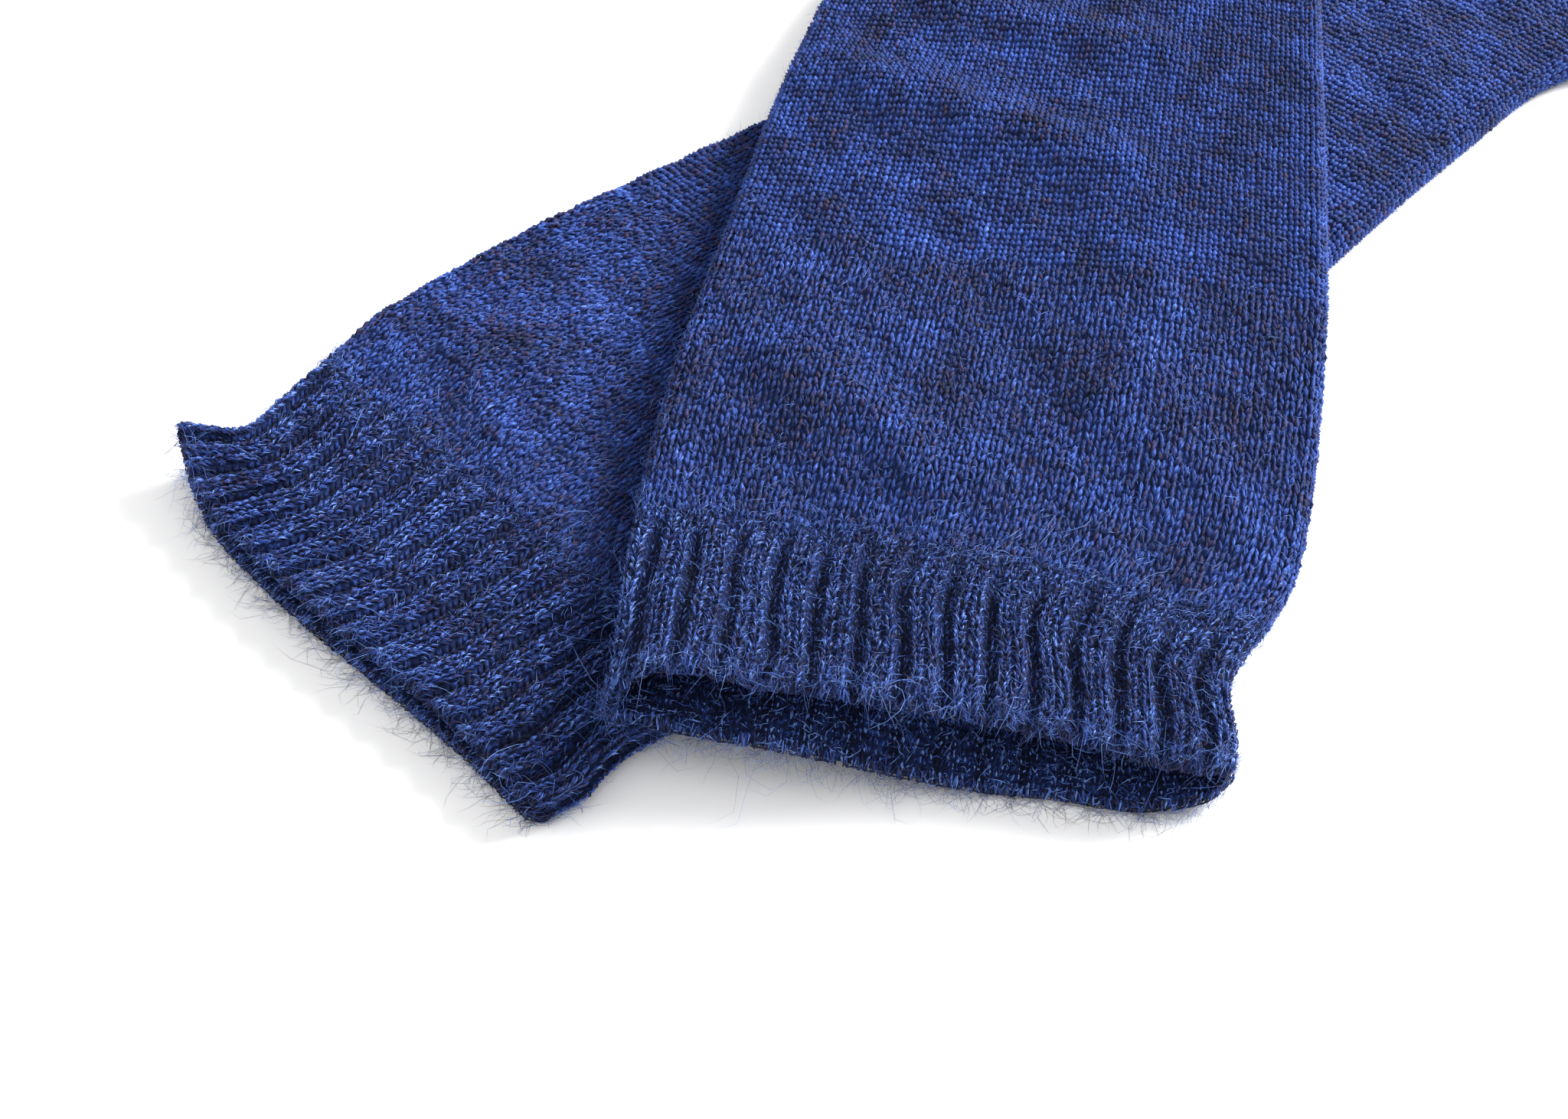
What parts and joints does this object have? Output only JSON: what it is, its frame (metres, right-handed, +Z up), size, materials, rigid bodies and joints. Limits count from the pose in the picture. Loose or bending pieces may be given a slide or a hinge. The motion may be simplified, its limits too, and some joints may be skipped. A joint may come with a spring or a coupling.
{
  "type": "pair of long ribbed knitted mittens",
  "caption": "Pair of long plain-knit mittens with ribbed cuffs, laid flat and crossed, one over the other, the upper cuff gaping at its hem.",
  "frame": {"origin": "middle of the rectangle round the pair, on the surface that it lies on", "axes": "+Z up from the surface, +Y away from the viewer, roughly along the upper mitten from its hem to its tip, +X to the viewer's right"},
  "size_m": [0.3178, 0.3874, 0.0183],
  "materials": {
    "rib_knit": "fuzzy two by two rib in fine heathered royal blue wool and mohair yarn",
    "plain_knit": "soft plain stocking stitch in the same heathered royal blue yarn, with a brushed halo"
  },
  "bodies": {
    "root": {"front_cuff": "rib_knit", "front_hand": "plain_knit", "front_thumb": "plain_knit", "under_cuff": "rib_knit", "under_hand": "plain_knit", "under_thumb": "plain_knit"}
  },
  "joints": []
}
